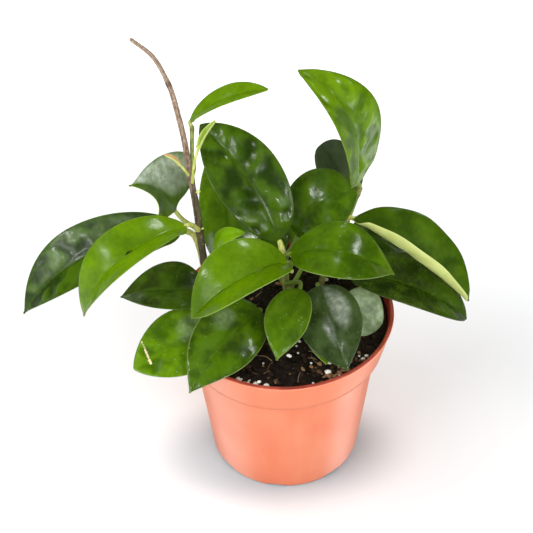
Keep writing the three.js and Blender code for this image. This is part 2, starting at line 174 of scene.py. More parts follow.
# smooth noise from -1 to 1: random heights on a lattice of cells, eased between the cell's corners
def lumps(points, size, seed):
    q = points / size
    cell = np.floor(q).astype(np.int64)
    f = q - cell
    f = f * f * (3 - 2 * f)
    total = np.zeros(points.shape[:-1])
    for corner in np.ndindex(2, 2, 2):
        c = cell + np.array(corner)
        mixed = c[..., 0] * 73856093 ^ c[..., 1] * 19349663 ^ c[..., 2] * 83492791 ^ seed * 7919 + 17
        mixed = ((mixed ^ (mixed >> 13)) * 1274126177) & 0x7FFFFFFF
        mixed = ((mixed ^ (mixed >> 15)) * 362437) & 0x7FFFFFFF
        weight = np.prod(np.where(np.array(corner) == 1, f, 1 - f), -1)
        total = total + weight * ((mixed >> 7) % 65536 / 32767.5 - 1)
    return total


# a closed skin over rings of points (rows, around, 3); each end closes on the middle of its ring. a skin
# whose volume comes out negative faces inwards, and its faces are turned over
def ringShell(rings, values):
    rows, around = rings.shape[:2]
    points = np.vstack([rings.reshape(-1, 3), rings[0].mean(0), rings[-1].mean(0)])
    row = np.arange(rows - 1)[:, None] * around
    k = np.arange(around)[None, :]
    after = (k + 1) % around
    quads = np.stack([row + k, row + after, row + around + after, row + around + k], -1).reshape(-1, 4)
    k, after = k[0], after[0]
    end = (rows - 1) * around
    first = np.stack([np.full(around, rows * around), after, k], -1)
    last = np.stack([np.full(around, rows * around + 1), end + k, end + after], -1)
    corners = np.vstack([quads[:, [0, 1, 2]], quads[:, [0, 2, 3]], first, last])
    a, b, c = points[corners[:, 0]], points[corners[:, 1]], points[corners[:, 2]]
    if np.einsum("ij,ij->i", a, np.cross(b, c)).sum() < 0:
        quads, first, last = quads[:, ::-1], first[:, ::-1], last[:, ::-1]
    ends = {name: np.concatenate([v.reshape(-1), [v[0].mean(), v[-1].mean()]]) for name, v in values.items()}
    return points, quads.tolist() + first.tolist() + last.tolist(), ends


# Catmull-Rom curve: between two points a cubic whose slope at each is half the step between its neighbours
def smoothPath(points, steps):
    p = np.asarray(points, float)
    p = np.vstack([2 * p[0] - p[1], p, 2 * p[-1] - p[-2]])
    spans = len(p) - 3
    t = np.linspace(0, spans, steps)
    i = np.minimum(t.astype(int), spans - 1)
    t = (t - i)[:, None]
    a, b, c, d = p[i], p[i + 1], p[i + 2], p[i + 3]
    second, third = 2 * a - 5 * b + 4 * c - d, 3 * b - a - 3 * c + d
    return 0.5 * (2 * b + (c - a) * t + second * t ** 2 + third * t ** 3)


# a round tube along a path: circles square to it, all turned by the axis that the path runs along least.
# radius may be one number for each row, or a table of rows and sides
def tubeRings(path, radius, sides):
    along = unit(np.gradient(path, axis=0))
    axes = np.eye(3)
    axis = axes[np.argmin(np.abs(along @ axes).max(0))]
    across = unit(axis - along * (along @ axis)[:, None])
    other = np.cross(along, across)
    angle = fullTurn(sides)
    radius = np.broadcast_to(np.asarray(radius, float).reshape(len(path), -1), (len(path), sides))
    circle = np.cos(angle)[None, :, None] * across[:, None] + np.sin(angle)[None, :, None] * other[:, None]
    return path[:, None] + radius[..., None] * circle


# one Blender mesh from several shells, in millimetres, with their values as attributes
def makePiece(name, shells, material, replaced=(), smoothAngle=None):
    points, faces, values = [], [], {}
    start = 0
    for shellPoints, shellFaces, shellValues in shells:
        points.append(shellPoints)
        faces += [[i + start for i in face] for face in shellFaces]
        for key, value in shellValues.items():
            values.setdefault(key, []).append(value)
        start += len(shellPoints)
    mesh = bpy.data.meshes.new(name)
    mesh.from_pydata((np.vstack(points) * mm).tolist(), [], faces)
    mesh.update()
    for key, parts in values.items():
        marks = mesh.attributes.new(key, "FLOAT", "POINT")
        marks.data.foreach_set("value", np.concatenate(parts).astype(np.float32))
    mesh.shade_smooth()
    if smoothAngle is not None:
        mesh.set_sharp_from_angle(angle=math.radians(smoothAngle))
    mesh.materials.append(material)
    piece = bpy.data.objects.new(name, mesh)
    scene.collection.objects.link(piece)
    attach(piece, "root")
    if replaced:
        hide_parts(*replaced)
    return piece


# turns an object by its three axes, moves it to a place in metres and puts it in the scene
def setUp(made, right, top, back, spot):
    matrix = np.eye(4)
    matrix[:3] = np.stack([right, top, back, spot], 1)
    made.matrix_world = Matrix(matrix.tolist())
    scene.collection.objects.link(made)
    return made


# camera: angles in degrees, distance and target in millimetres
camera = {
    "lens": 81.05, "sensor": 36.0, "elevation": 41.4, "roll": -1.4, "distance": 636.0, "target": (-9, 0, 131),
}


def makeCamera(c):
    up, roll = math.radians(c["elevation"]), math.radians(c["roll"])
    back = np.array([0, -math.cos(up), math.sin(up)])
    x = np.array([1.0, 0, 0])
    y = np.cross(back, x)
    right = x * math.cos(roll) + y * math.sin(roll)
    top = y * math.cos(roll) - x * math.sin(roll)
    data = bpy.data.cameras.new("photo_camera")
    data.lens, data.sensor_width, data.clip_end = c["lens"], c["sensor"], 50
    made = bpy.data.objects.new("photo_camera", data)
    scene.camera = setUp(made, right, top, back, (np.array(c["target"]) + back * c["distance"]) * mm)


# floor and light, in metres. paper is the floor's colour; a painted shadow darkens it under the pot to the
# shadow's share, over an oval that fades over near; far away the floor turns to far and glows, so that low
# views end in white
studio = {
    "floorSize": 2.5, "floorDrop": 0.0003, "paper": (0.806, 0.82, 0.827), "paintedShadow": (0.555, 0.605, 0.635),
    "near": (0.038, 0.092), "shadeShift": (0.007, 0.016, 0), "shadeShape": (1, 1.7, 1),
    "far": 0.97, "farFrom": (0.16, 0.6), "glow": 0.5, "glowFrom": (0.4, 0.9),
    "open": 0.58, "mirrored": 0.03, "horizon": 0.35, "aim": (0, 0, 0.14), "away": 1.3,
    # softboxes light the surfaces: place, width and height, power
    "lights": {
        "left_softbox": ((-0.897, -0.419, 0.99), (1.1, 0.9), 12.5),
        "right_softbox": ((0.55, -0.955, 0.86), (1.0, 0.9), 12),
        "back_softbox": ((-0.495, 0.857, 0.99), (0.8, 0.6), 4.5),
    },
    # lamps make the highlights only: azimuth, elevation, side, power
    "lamps": {
        "front_left": (-160, 28, 0.13, 0.8),
        "left": (-137, 38, 0.11, 1.1),
        "front_right": (166, 6, 0.13, 2.2),
        "right": (86, 63, 0.12, 1.2),
        "back": (16, 57, 0.1, 0.3),
    },
    # round panels that only gloss sees: azimuth, elevation, full within, gone beyond, strength
    "panels": {
        "front_left": (-150, 14, 5, 15, 2.2),
        "left": (-100, 60, 4, 12, 1.0),
        "front_right": (140, 2, 5, 14, 3.6),
        "right": (102, -22, 3, 10, 2.4),
        "floor_left": (-84, -50, 8, 28, 1.1),
        "floor_right": (84, -48, 6, 22, 1.6),
    },
}


# the direction to an azimuth, counted from behind the plant to the right, and an elevation, both in degrees
def aimed(azimuth, elevation):
    turn, up = math.radians(azimuth), math.radians(elevation)
    return np.array((math.sin(turn) * math.cos(up), math.cos(turn) * math.cos(up), math.sin(up)))


# white where the camera looks, soft grey to the surfaces; gloss sees a dark room with round bright panels
def makeWorld(s):
    world = bpy.data.worlds.new("studio")
    world.use_nodes = True
    world.node_tree.nodes.clear()
    w = Shader(world.node_tree)
    toCamera, toGloss = (w.make("LightPath", {}, {}, k) for k in (0, 3))
    direction = w.make("TexCoord", {}, {}, 0)
    height = w.make("SeparateXYZ", {}, {0: direction}, 2)
    gloss = s["mirrored"] + (s["horizon"] - s["mirrored"]) * height.fall(0.0, 0.2)
    for azimuth, elevation, inner, outer, strength in s["panels"].values():
        middle = tuple(aimed(azimuth, elevation).tolist())
        near = w.make("VectorMath", {"operation": "DOT_PRODUCT"}, {0: direction, 1: middle}, 1)
        gloss = gloss + near.rise(math.cos(math.radians(outer)), math.cos(math.radians(inner))) * strength
    shown = s["open"] * (1 - toGloss) + gloss * toGloss
    shown = shown * (1 - toCamera) + toCamera
    light = w.make("Background", {}, {"Color": (1, 1, 1, 1), "Strength": shown})
    w.make("OutputWorld", {}, {"Surface": light})
    scene.world = world


# a flat lamp turned to the plant's middle
def makeLight(name, at, size, power):
    data = bpy.data.lights.new(name, "AREA")
    data.shape = "RECTANGLE"
    data.size, data.size_y = size
    data.energy = power
    back = unit(np.array(at) - studio["aim"])
    right = unit(np.cross((0, 0, 1.0), back))
    return setUp(bpy.data.objects.new(name, data), right, np.cross(back, right), back, at)


def makeStudio(s):
    half, low = s["floorSize"] / 2, -s["floorDrop"]
    mesh = bpy.data.meshes.new("floor")
    corners = [(x * half, y * half, low) for x, y in ((-1, -1), (1, -1), (1, 1), (-1, 1))]
    mesh.from_pydata(corners, [], [(0, 1, 2, 3)])
    shader = newMaterial("paper_floor")
    bare = (*s["paper"], 1)
    shaded = (*(v * k for v, k in zip(s["paper"], s["paintedShadow"])), 1)
    # painted shadow: an oval round the pot's foot where the floor's colour darkens
    moved = shader.make("VectorMath", {"operation": "ADD"}, {0: shader.place(), 1: s["shadeShift"]})
    oval = shader.make("VectorMath", {"operation": "MULTIPLY"}, {0: moved, 1: s["shadeShape"]})
    spot = shader.make("VectorMath", {"operation": "LENGTH"}, {0: oval}, 1)
    colour = shader.mix(spot.fall(*s["near"]) ** 1.3 + shader.noise(3.0) * 0.02, bare, shaded)
    colour = shader.mix(spot.rise(*s["farFrom"]), colour, (s["far"],) * 3 + (1,))
    glow = shader.mix(spot.rise(*s["glowFrom"]), (0, 0, 0, 1), (1, 1, 1, 1))
    fixed = {"Specular IOR Level": 0.0, "Emission Strength": s["glow"], "Emission Color": glow}
    mesh.materials.append(finishMaterial(shader, colour, 0.85, fixed=fixed))
    floor = bpy.data.objects.new("floor", mesh)
    scene.collection.objects.link(floor)
    floor.visible_glossy = False
    makeWorld(s)
    for name, (at, size, power) in s["lights"].items():
        makeLight(name, at, size, power).visible_glossy = False
    for name, (azimuth, elevation, side, power) in s["lamps"].items():
        at = aimed(azimuth, elevation) * s["away"]
        makeLight(name + "_lamp", at, (side, side), power).visible_diffuse = False
    scene.view_settings.view_transform = "Standard"


makeCamera(camera)
makeStudio(studio)
print("camera, floor and light made")

# pot: the CAD profile turned about +Z with 256 sides, rounded at the lip and the foot
pot = {
    "height": 100, "rim": 60, "base": 43, "collar": 22, "step": 3.5, "flare": 5, "collarWall": 2.2,
    "wall": 1.4, "shelf": 1.6, "floor": 1.6, "foot": 1.5, "lip": 0.9, "sides": 256, "sharp": 38,
    "drains": 8, "drainWidth": 10, "drainInner": 31, "drainHeight": 1.8, "firstDrain": -98,
    "outside": (226, 118, 78), "outsidePale": (232, 138, 100), "speck": (214, 118, 84),
    "darkerFoot": (196, 104, 76), "inside": (134, 44, 30), "insideLight": (168, 66, 48),
}
collarFoot = pot["height"] - pot["collar"]
shelfTop = collarFoot + pot["shelf"]
wallTop = pot["rim"] - pot["flare"] - pot["step"]


# the outside's radius at a height: two straight tapers, one for the wall and one for the collar
def potOuter(z):
    wall = pot["base"] + (wallTop - pot["base"]) * z / collarFoot
    collar = pot["rim"] - pot["flare"] * (pot["height"] - z) / pot["collar"]
    return np.where(z < collarFoot, wall, collar)


# the inside's radius: the outside's less the wall, and above the shelf less the collar's wall
def potInner(z):
    wall = potOuter(np.minimum(z, collarFoot - 0.001)) - pot["wall"]
    return np.where(z < shelfTop, wall, potOuter(z) - pot["collarWall"])


# an arc of a given size about a centre at a radius and a height, between two angles in degrees
def arc(radius, height, size, start, end, steps):
    angle = np.radians(np.linspace(start, end, steps))
    return np.stack([radius + size * np.cos(angle), height + size * np.sin(angle)], -1)


# the outline of the pot's wall, cut through: out along the base, up the outside, over the lip and back inside
def potProfile(p):
    outer = potOuter(np.array([p["foot"], collarFoot - 0.001, collarFoot]))
    wall = np.linspace(p["foot"] + 0.3, collarFoot - 0.6, 26)
    collar = np.linspace(collarFoot + 1.1, p["height"] - p["lip"], 8)
    innerLip = p["rim"] - p["collarWall"]
    innerCollar = np.linspace(p["height"] - 0.7, shelfTop + 0.6, 6)
    innerWall = np.linspace(shelfTop - 0.9, p["floor"] + 1.2, 12)
    inner = potInner(np.array([shelfTop - 0.001, shelfTop]))
    return np.vstack([
        [[8, 0], [30, 0]],
        arc(outer[0] - p["foot"], p["foot"], p["foot"], -90, -4, 9),
        np.stack([potOuter(wall), wall], -1),
        [[outer[1] + 0.12, collarFoot - 0.12], [outer[1] + 0.7, collarFoot + 0.1],
         [outer[2] - 0.5, collarFoot + 0.4], [outer[2] - 0.08, collarFoot + 0.7]],
        np.stack([potOuter(collar[:-1]), collar[:-1]], -1),
        arc(p["rim"] - p["lip"], p["height"] - p["lip"], p["lip"], 0, 90, 7),
        arc(innerLip + 0.5, p["height"] - 0.5, 0.5, 90, 180, 5),
        np.stack([potOuter(innerCollar) - p["collarWall"], innerCollar], -1),
        [[inner[1] - 0.3, shelfTop + 0.06], [inner[0] + 0.4, shelfTop - 0.06], [inner[0], shelfTop - 0.4]],
        np.stack([potInner(innerWall), innerWall], -1),
        [[potInner(np.array(2.0)) - 1.2, p["floor"]], [30, p["floor"]], [8, p["floor"]]],
    ])


# the profile's radius and height at each angle; the wall swells and dips by hundredths of a millimetre
def potRings(p):
    profile = potProfile(p)
    angle = fullTurn(p["sides"])[None, :]
    radius, height = profile[:, :1], profile[:, 1:]
    uneven = 0.05 * np.sin(2 * angle + 0.6) + 0.04 * np.sin(3 * angle + height * 0.02)
    radius = radius + uneven * smooth(radius, 20, 40)
    return aroundAxis(radius, angle, height)


# slots through the corner of floor and wall; the first one is just left of the front's middle
def cutDrains(piece, p):
    low, high = p["drainInner"], p["base"] + p["foot"]
    box = np.array([[x, y, z] for x in (low, high) for y in (-1, 1) for z in (-3, p["drainHeight"])], float)
    box[:, 1] *= p["drainWidth"] / 2
    turns = np.radians(p["firstDrain"] + 360 * np.arange(p["drains"]) / p["drains"])
    cos, sin = np.cos(turns)[:, None], np.sin(turns)[:, None]
    x, y, z = box.T
    corners = grid(x * cos - y * sin, x * sin + y * cos, z).reshape(-1, 3)
    sides = [(0, 1, 3, 2), (4, 6, 7, 5), (0, 4, 5, 1), (2, 3, 7, 6), (0, 2, 6, 4), (1, 5, 7, 3)]
    faces = [[i + 8 * k for i in side] for k in range(p["drains"]) for side in sides]
    mesh = bpy.data.meshes.new("slots")
    mesh.from_pydata((corners * mm).tolist(), [], faces)
    cutter = bpy.data.objects.new("slots", mesh)
    scene.collection.objects.link(cutter)
    modifier = piece.modifiers.new("drains", "BOOLEAN")
    modifier.object, modifier.operation, modifier.solver = cutter, "DIFFERENCE", "EXACT"
    bpy.context.view_layer.update()
    cut = bpy.data.meshes.new_from_object(piece.evaluated_get(bpy.context.evaluated_depsgraph_get()))
    piece.modifiers.clear()
    piece.data = cut
    cut.shade_smooth()
    cut.set_sharp_from_angle(angle=math.radians(p["sharp"]))
    bpy.data.objects.remove(cutter)


# moulded plastic: salmon outside, paler in broad patches and upright streaks, darker over the lowest two
# millimetres, paler from the collar's step upwards as painted light; dark red from the lip inwards as painted
# shade
def potMaterial(p):
    s = newMaterial("moulded_pot")
    x, y = (s.make("SeparateXYZ", {}, {0: s.place()}, k) for k in (0, 1))
    radius, height = (x * x + y * y) ** 0.5 * 1000, s.height()
    wall = height * ((wallTop - p["base"]) / collarFoot) + p["base"]
    collar = height * (p["flare"] / p["collar"]) + (p["rim"] - p["flare"] * p["height"] / p["collar"])
    onCollar = height.rise(collarFoot + 0.9, collarFoot + 1.1)
    outer = wall * (1 - onCollar) + collar * onCollar
    onShelf = height.rise(collarFoot - 1, collarFoot - 0.9) * height.fall(collarFoot + 1.1, collarFoot + 1.2)
    # painted shade: from the top of the lip inwards the pot takes a dark red, the shade of its inside
    inside = (outer - radius).rise(0.45, 0.7) * (1 - onShelf)
    lipTop = height.rise(p["height"] - 0.6, p["height"] - 0.25)
    inside = s.maths("MAXIMUM", inside, lipTop) * height.rise(1.5, 1.9)
    cloud = s.noise(34, 2.0).rise(0.35, 0.7)
    streak = s.noise(7, 3.0, (1, 1, 0.1)).rise(0.3, 0.75)
    speck = s.noise(0.9, 1.0).rise(0.68, 0.74)
    salmon = s.mix(cloud * 0.6 + streak * 0.3, p["outside"], p["outsidePale"])
    # painted light: paler from just under the collar's step upwards, against the shade that falls there
    salmon = s.mix(height.rise(collarFoot - 2, collarFoot - 1.4) * 0.4, salmon, p["outsidePale"])
    salmon = s.mix(speck * 0.14, salmon, p["speck"])
    # darker over the lowest two millimetres
    salmon = s.mix(height.fall(0.2, 2.2) * 0.5, salmon, p["darkerFoot"])
    colour = s.mix(inside, salmon, s.mix(streak, p["inside"], p["insideLight"]))
    fine = s.noise(0.7, 2.0)
    normal = s.bump(fine + streak * 1.5, 0.02, 0.7)
    fixed = {"Subsurface Weight": 0.08, "Subsurface Scale": 0.004, "Subsurface Radius": (1.0, 0.4, 0.25),
             "Specular IOR Level": 1.0}
    return finishMaterial(s, colour, 0.28 + 0.1 * streak + 0.05 * fine, normal, fixed)


potPiece = makePiece("nursery_pot", [ringShell(potRings(pot), {})], potMaterial(pot), ["pot"])
cutDrains(potPiece, pot)
print("pot made")

# stems
stems = {
    "vine": {"radius": (2.2, 1), "kind": "bark", "nodes": (104, 112, 119, 131, 151, 180, 222),
        "path": [(-34, 0, 66), (-36, 1, 95), (-42, 5, 131), (-44.5, 9, 165), (-46.8, 14, 181),
            (-49, 22, 197), (-52.5, 30, 212), (-56, 37, 222), (-63, 42, 235), (-74, 45, 244)]},
    "middle": {"radius": (2.2, 1.7), "kind": "green", "nodes": (107, 115, 121, 127, 132, 137),
        "path": [(4, 6, 66), (3, 5, 95), (1, 4, 118), (0, 3, 138)]},
    "right": {"radius": (2, 1.5), "kind": "green", "nodes": (112, 120, 127, 143, 161, 165),
        "path": [(18, 18, 66), (20, 18, 95), (28, 21, 125), (36, 23, 147), (41, 22, 166)]},
    "front_left": {"radius": (1.8, 1.4), "kind": "green", "nodes": (104, 109),
        "path": [(-22, -12, 66), (-22, -12, 95), (-23, -12, 110)]},
    "front_right": {"radius": (1.8, 1.4), "kind": "green", "nodes": (102, 106, 110),
        "path": [(24, -2, 66), (24, -2, 95), (22, -3, 111)]},
    "side_shoot": {"radius": (1.2, 1), "kind": "green", "nodes": (184, 202),
        "path": [(-46.4, 13.6, 180), (-45.8, 18, 185), (-45.6, 22, 191), (-45.3, 25, 198), (-45, 27, 204)]},
}
stemLook = {
    "sides": 26, "step": 0.55, "ridge": 0.07, "swell": 0.22, "swellLength": 2.0,
    "furrow": (92, 66, 50), "bark": ((178, 160, 142), (148, 122, 100)), "knot": (70, 48, 34),
    "oldFurrow": (38, 32, 20), "oldBark": ((104, 98, 62), (80, 66, 50)), "chip": (206, 196, 176),
    "green": ((104, 124, 52), (150, 160, 84)), "brown": ((84, 66, 42), (128, 112, 70)),
    "greenKnot": (112, 92, 56),
}


# the tube's radius: tapering, swollen by a bell curve at each node, ridged by noise drawn out lengthwise
def stemShell(stem, look, seed):
    path = smoothPath(stem["path"], 400)
    length = np.concatenate([[0], np.cumsum(np.linalg.norm(np.diff(path, axis=0), axis=1))])
    rows = int(length[-1] / look["step"])
    even = np.linspace(0, length[-1], rows)
    share = np.interp(even, length, np.linspace(0, 1, 400))
    path = np.stack([np.interp(even, length, path[:, k]) for k in range(3)], -1)
    radius = stem["radius"][0] + (stem["radius"][1] - stem["radius"][0]) * share
    ring = np.zeros(rows)
    for height in stem["nodes"]:
        ring += np.exp(-((path[:, 2] - height) / look["swellLength"]) ** 2)
    radius = radius * (1 + look["swell"] * np.minimum(ring, 1.2))
    angle = fullTurn(look["sides"])
    at = aroundAxis(2.2, angle, even[:, None] / 9)
    ridge = lumps(at, 0.7, seed) + 0.5 * lumps(at * [1, 1, 3], 0.35, seed + 1)
    dent = lumps(aroundAxis(0, angle, even[:, None]), 3, seed + 2)
    rough = look["ridge"] * (1.6 if stem["kind"] == "bark" else 0.5)
    radius = radius[:, None] * (1 + 0.03 * dent) + rough * ridge
    radius[-3:] *= np.array([0.97, 0.85, 0.55])[:, None]
    values = {"ridge": ridge, "ring": np.broadcast_to(ring[:, None], ridge.shape)}
    return ringShell(tubeRings(path, radius, look["sides"]), values)


# bark: grey-brown ridges with dark furrows, darker and greener below the node, a dark ring at each node
def barkMaterial(look):
    s = newMaterial("vine_bark")
    height = s.height()
    ridge, ring = s.attribute("ridge"), s.attribute("ring")
    grain = s.noise(1.1, 4.0, (1, 1, 0.16))
    furrow = (ridge * 0.5 + grain * 1.6).rise(0.2, 1.25)
    upper = s.mix(furrow, look["furrow"], s.mix(s.noise(7, 2.0), *look["bark"]))
    lower = s.mix(furrow, look["oldFurrow"], s.mix(s.noise(5, 2.0), *look["oldBark"]))
    colour = s.mix(height.fall(168, 196), upper, lower)
    colour = s.mix(ring.rise(0.55, 0.95) * 0.55, colour, look["knot"])
    colour = s.mix(s.noise(1.6, 1.0).rise(0.66, 0.72) * 0.5, colour, look["chip"])
    return finishMaterial(s, colour, 0.62 + 0.2 * grain, s.bump(grain, 0.12, 0.8))


# young shoots: yellow-green, streaked, browner towards the soil and at the nodes
def shootMaterial(look):
    s = newMaterial("green_shoot")
    height = s.height()
    grain = s.noise(1.3, 3.0, (1, 1, 0.2))
    green, brown = (s.mix(grain.rise(0.3, 0.7), *look[key]) for key in ("green", "brown"))
    colour = s.mix(height.fall(96, 116) * 0.8, green, brown)
    colour = s.mix(s.attribute("ring").rise(0.6, 1.0) * 0.5, colour, look["greenKnot"])
    return finishMaterial(s, colour, 0.5 + 0.15 * grain, s.bump(grain, 0.06, 0.6))


stemMaterials = {"bark": barkMaterial(stemLook), "green": shootMaterial(stemLook)}
for order, (name, stem) in enumerate(stems.items()):
    shell = stemShell(stem, stemLook, 40 + order)
    makePiece("shoot_" + name, [shell], stemMaterials[stem["kind"]], ["stem_" + name])
print("stems made")


# the point of a stem's path at a height above the table, on a straight line between close points of it
def stemPoint(name, height):
    path = smoothPath(stems[name]["path"], 1400)
    above = np.argmax(path[:, 2] >= height)
    if path[above, 2] < height or above < 1:
        return path[-1]
    low, high = path[above - 1], path[above]
    return low + (high - low) * (height - low[2]) / (high[2] - low[2])


# leaves: face turns the side that the blade bows to, left and right are the rise and curl of its halves, in
# degrees; quilt is the height of the pillows between the veins and cells their spacing, in millimetres;
# pale is how pale the stalk is; the sheen patches are reflections painted in silvery white (t, s, length,
# width, strength); the wax value roughens the blade and paints a faint silvery sheen; the shade value scales
# the top's green, partly the leaf's own tone and partly painted light and shade; mark is a scar or a blemish
# between two places given by t and s
usualLeaf = {
    "face": 0, "skew": 0, "sway": 0, "wave": 0, "waves": 2, "belly": 0.45, "heel": 0.55, "point": 0.8,
    "left": (18, -14), "right": (18, -14), "petiole": 1.4, "sink": 0.8,
    "cells": 10.5, "wax": 0.1, "fleck": 0.15, "margin": 0.08, "shade": 1.0, "pale": 0.1, "matt": 0.0,
    "mark": ((0, 0), (0, 0)), "markWidth": 0, "scarred": 0, "sheen": (),
}
leafShape = {
    "rows": 88, "columns": 26, "middle": 1.4, "edge": 0.8, "rim": 0.22, "narrowest": (1.3, 0.45),
    "crease": 1.3, "lean": 0.62, "pillows": 0.3, "hollows": 0.75, "dimples": 0.32, "grain": 0.2, "vein": 0.55,
    "groove": 0.04, "underRib": 0.5, "underQuilt": 0.75, "stalkSides": 14, "stalkRows": 30,
}


# a row of the table: the stem and the height of the stalk's root on it, the blade's base and tip, its width
# and how far it bows, its tone and quilting, then whatever differs from the usual leaf
def leafRow(*row, **others):
    columns = ("stem", "root", "base", "tip", "width", "arch", "tone", "quilt")
    return {**usualLeaf, **dict(zip(columns, row)), **others}


leaves = {
    "left_outer": leafRow("vine", 119, (-54, 15, 145), (-141, -4, 105), 34, 18.5, "dark", 1.0, face=-34,
        sway=6, belly=0.5, point=1.15, left=(34, -12), right=(26, -12), petiole=1.9, cells=11, wax=0.5,
        pale=0.9, sheen=((0.45, 0.5, 0.5, 0.55, 0.12),)),
    "left_inner": leafRow("vine", 151, (-50, -2, 162), (-104.5, -25, 122), 31, 20, "bright", 0.25,
        face=-22, point=0.95, left=(46, -12), right=(22, -12), margin=0.1, pale=0.8,
        mark=((0.37, -0.02), (0.41, -0.04)), markWidth=1.2),
    "left_upper": leafRow("vine", 151, (-57, 26, 150), (-80, 24, 168.5), 42, 5, "mid", 0.35, face=-12,
        skew=0.2, sway=3, wave=-5, waves=1, belly=0.4, heel=0.75, point=1.6, left=(18, -10),
        right=(34, 14), wax=2.0, matt=0.1, pale=0.8, sheen=((0.6, 0.5, 0.45, 0.6, 0.6),)),
    "young_top": leafRow("side_shoot", 202, (-45.5, 28, 206), (-6, 29, 223), 15, 6, "bright", 0.2, face=22,
        belly=0.58, left=(10, -14), right=(40, -14), petiole=1, pale=0.6),
    "young_rolled": leafRow("vine", 177, (-41.5, 9.5, 202), (-32.5, 12.5, 216), 5.5, 0, "pale", 0.1,
        sway=-1, face=40, left=(48, 30), right=(48, 30), petiole=0.8, pale=1.0),
    "young_sprout": leafRow("vine", 181, (-51, 12, 190), (-59, 12, 197), 3.2, 1, "bronze", 0.03,
        left=(30, 0), right=(30, 0), petiole=0.8, pale=1.0),
    "centre_tall": leafRow("middle", 137, (-2, 5, 145), (-41, 30, 202), 36, 6, "dark", 0.9, face=-38,
        sway=4, belly=0.53, petiole=1.6, cells=11, wax=0.4, margin=0.1, pale=0.9),
    "centre_back": leafRow("vine", 112, (-25, 17, 113), (-36, 51, 171), 34, 5, "mid", 0.3, belly=0.42,
        shade=1.45),
    "centre_small": leafRow("vine", 131, (-36, 3, 138), (-20, 7, 149), 13, 5, "bright", 0.1, petiole=0.9,
        margin=0.3, pale=0.6, shade=1.8),
    "front_bright": leafRow("middle", 121, (1.5, -10, 142.5), (-48, -34, 127), 40, 13, "bright", 0.2,
        face=-42, sway=4, heel=0.58, point=1, left=(70, -10), right=(2, -12), cells=14, margin=0.5,
        fleck=0.3, shade=0.95),
    "front_pointed": leafRow("middle", 115, (8, -14, 127), (-5, -47, 108), 24, 4, "mid", 0.3, point=1.2,
        margin=0.5, fleck=0.8),
    "right_glossy": leafRow("middle", 127, (4, -5, 144.3), (57, -14, 136), 36, 12, "mid", 0.35, face=24,
        sway=-1, point=1.15, left=(2, -14), right=(24, -14), cells=13, margin=0.5, fleck=0.5, shade=0.9),
    "right_round": leafRow("middle", 132, (8, 18, 137), (39, 17, 165), 36, 9, "dark", 0.7, face=33,
        sway=-4, belly=0.58, point=0.6, right=(0, -14), cells=13, shade=1.1),
    "right_tall": leafRow("right", 165, (40, 20, 170), (9, 30, 233), 35, 18, "bright", 1.2, face=-25,
        skew=0.55, belly=0.5, heel=0.48, left=(30, -14), cells=10, wax=0.4, fleck=0.4, pale=0.2,
        shade=0.95, sink=1.6),
    "right_shaded": leafRow("right", 148, (37.5, 33, 149), (22, 47, 176), 30, 2, "silver", 0.3, belly=0.5,
        heel=0.5, point=0.42, left=(10, -8), shade=0.75, matt=0.3),
    "right_raised": leafRow("right", 143, (38, 18, 148), (99, -8, 110), 40, 5, "mid", 0.5, heel=0.75,
        left=(40, -10), right=(16, 72), cells=13, shade=0.78, wave=0.35, waves=3, pale=1.0),
    "right_outer": leafRow("right", 120, (37, 6, 119), (98.5, -10, 98.6), 35, 10, "dark", 0.6, face=15,
        belly=0.4, point=0.7, right=(30, -14), shade=0.8, matt=0.08, pale=0.5),
    "right_tucked": leafRow("right", 127, (37, 27, 125), (69, 40, 109), 28, 5, "dark", 0.4, face=15,
        shade=0.8),
    "front_silver": leafRow("front_right", 110, (18, -8, 123), (31, -50, 102), 34, 5, "silver", 0.6,
        face=15, point=1.1, cells=12, wax=1.0, fleck=0.8, shade=0.8,
        sheen=((0.3, -0.45, 0.3, 0.35, 0.5), (0.55, 0.1, 0.2, 0.2, 0.25))),
    "front_low": leafRow("front_right", 102, (15, -12, 108), (21, -42, 99), 18, 3, "bright", 0.25, point=1,
        margin=1.0),
    "right_rim": leafRow("front_right", 106, (30, -6, 107), (53, -11, 98), 28, 3, "silver", 0.25, face=30,
        wax=1.5, shade=2.2, matt=0.2, sheen=((0.5, 0, 1, 1.4, 0.2),)),
    "front_scarred": leafRow("front_left", 104, (-33, -16, 106), (-79, -45, 102), 36, 4, "mid", 0.7,
        face=-30, left=(13, -12), right=(6, -14), wax=0.5, fleck=0.8, shade=1.4,
        mark=((0.81, 0.9), (0.84, -0.2)), markWidth=0.9, scarred=1, sheen=((0.3, 0.2, 0.2, 0.5, 0.2),)),
    "front_over_rim": leafRow("front_left", 109, (-13, -14, 112), (-50, -58, 97), 34, 8, "dark", 0.55,
        face=-25, sway=3, heel=0.42, point=1.15, left=(10, -14), cells=11, margin=0.5, fleck=0.6,
        shade=1.2, sheen=((0.35, 0.5, 0.12, 0.35, 0.12),)),
    "left_low": leafRow("vine", 104, (-42, -7, 120), (-87, -7, 118), 32, 5, "dark", 0.5, face=-15,
        belly=0.35, point=1.1, left=(24, -14), fleck=0.5, wax=0.4, sheen=((0.85, -0.5, 0.2, 0.6, 0.15),)),
    "back_right": leafRow("middle", 107, (12, 20, 116), (30, 73, 102), 32, 7, "mid", 0.7),
    "back_left": leafRow("middle", 111, (-5, 19, 117), (-21, 72, 105), 31, 8, "dark", 0.8),
    "back_side": leafRow("right", 112, (36, 24, 106), (78, 50, 95), 29, 6, "dark", 0.6),
}


# the midrib at t: the chord from base to tip, bowed by arch out of the blade and by sway within it
def midrib(leaf, t):
    base = np.array(leaf["base"], float)
    chord = np.array(leaf["tip"], float) - base
    along = unit(chord)
    up = unit(np.array([0, 0, 1.0]) - along * along[2])
    across = np.cross(along, up)
    turn = math.radians(leaf["face"])
    out = math.cos(turn) * up + math.sin(turn) * across
    bow = 4 * t * (1 - t) * (1 + leaf["skew"] * (2 * t - 1))
    return base + chord * t + (out * leaf["arch"] + np.cross(along, out) * leaf["sway"]) * bow, out


